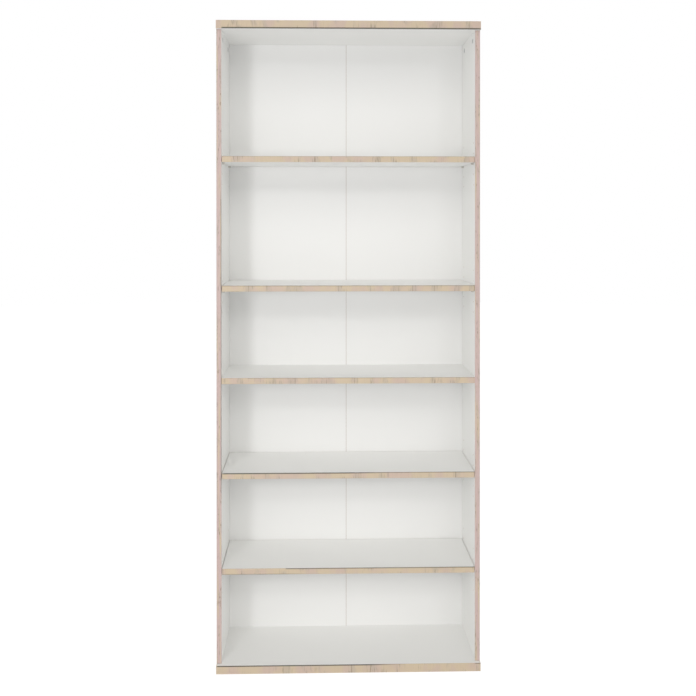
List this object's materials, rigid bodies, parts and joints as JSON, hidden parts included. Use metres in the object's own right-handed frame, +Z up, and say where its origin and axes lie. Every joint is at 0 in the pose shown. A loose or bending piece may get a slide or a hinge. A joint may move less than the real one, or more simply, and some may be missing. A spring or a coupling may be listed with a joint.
{
  "type": "bookcase with adjustable shelves",
  "caption": "Tall open white bookcase with oak-effect front edges, and shelves that rest on pins and slide out to be moved.",
  "frame": {"origin": "on the floor under the middle of the case", "axes": "+Z up, the open front faces -Y, +X to the right as seen from the front"},
  "size_m": [0.8, 0.31, 1.97],
  "materials": {
    "white_melamine": "satin white melamine on chipboard",
    "oak_edging": "matt pale oak-effect edging strip",
    "white_hardboard": "white painted hardboard",
    "nickel": "nickel-plated steel",
    "zinc": "bright zinc, dull",
    "beech": "raw beech"
  },
  "bodies": {
    "case": {"back_panel_left": "white_hardboard", "back_panel_right": "white_hardboard", "base_front_edging": "oak_edging", "base_left_edging": "oak_edging", "base_panel": "white_melamine", "base_right_edging": "oak_edging", "base_screw_left_front": "zinc", "base_screw_left_rear": "zinc", "base_screw_right_front": "zinc", "base_screw_right_rear": "zinc", "cam_bolt_left_front": "zinc", "cam_bolt_left_rear": "zinc", "cam_bolt_right_front": "zinc", "cam_bolt_right_rear": "zinc", "cam_lock_left_front": "zinc", "cam_lock_left_rear": "zinc", "cam_lock_right_front": "zinc", "cam_lock_right_rear": "zinc", "dowel_left_front": "beech", "dowel_left_rear": "beech", "dowel_right_front": "beech", "dowel_right_rear": "beech", "left_side_edging": "oak_edging", "left_side_panel": "white_melamine", "right_side_edging": "oak_edging", "right_side_panel": "white_melamine", "shelf_1_pin_left_front": "nickel", "shelf_1_pin_left_rear": "nickel", "shelf_1_pin_right_front": "nickel", "shelf_1_pin_right_rear": "nickel", "shelf_2_pin_left_front": "nickel", "shelf_2_pin_left_rear": "nickel", "shelf_2_pin_right_front": "nickel", "shelf_2_pin_right_rear": "nickel", "shelf_3": "white_melamine", "shelf_3_edging": "oak_edging", "shelf_3_screw_left_front": "zinc", "shelf_3_screw_left_rear": "zinc", "shelf_3_screw_right_front": "zinc", "shelf_3_screw_right_rear": "zinc", "shelf_4_pin_left_front": "nickel", "shelf_4_pin_left_rear": "nickel", "shelf_4_pin_right_front": "nickel", "shelf_4_pin_right_rear": "nickel", "shelf_5_pin_left_front": "nickel", "shelf_5_pin_left_rear": "nickel", "shelf_5_pin_right_front": "nickel", "shelf_5_pin_right_rear": "nickel", "top_front_edging": "oak_edging", "top_left_edging": "oak_edging", "top_panel": "white_melamine", "top_right_edging": "oak_edging"},
    "shelf_1": {"shelf_1": "white_melamine", "shelf_1_edging": "oak_edging"},
    "shelf_2": {"shelf_2": "white_melamine", "shelf_2_edging": "oak_edging"},
    "shelf_4": {"shelf_4": "white_melamine", "shelf_4_edging": "oak_edging"},
    "shelf_5": {"shelf_5": "white_melamine", "shelf_5_edging": "oak_edging"}
  },
  "joints": [
    {"name": "shelf_1_pull", "type": "slide", "parent": "case", "child": "shelf_1", "axis": [0, -1, 0], "range_m": [0, 0.3]},
    {"name": "shelf_2_pull", "type": "slide", "parent": "case", "child": "shelf_2", "axis": [0, -1, 0], "range_m": [0, 0.3]},
    {"name": "shelf_4_pull", "type": "slide", "parent": "case", "child": "shelf_4", "axis": [0, -1, 0], "range_m": [0, 0.3]},
    {"name": "shelf_5_pull", "type": "slide", "parent": "case", "child": "shelf_5", "axis": [0, -1, 0], "range_m": [0, 0.3]}
  ]
}
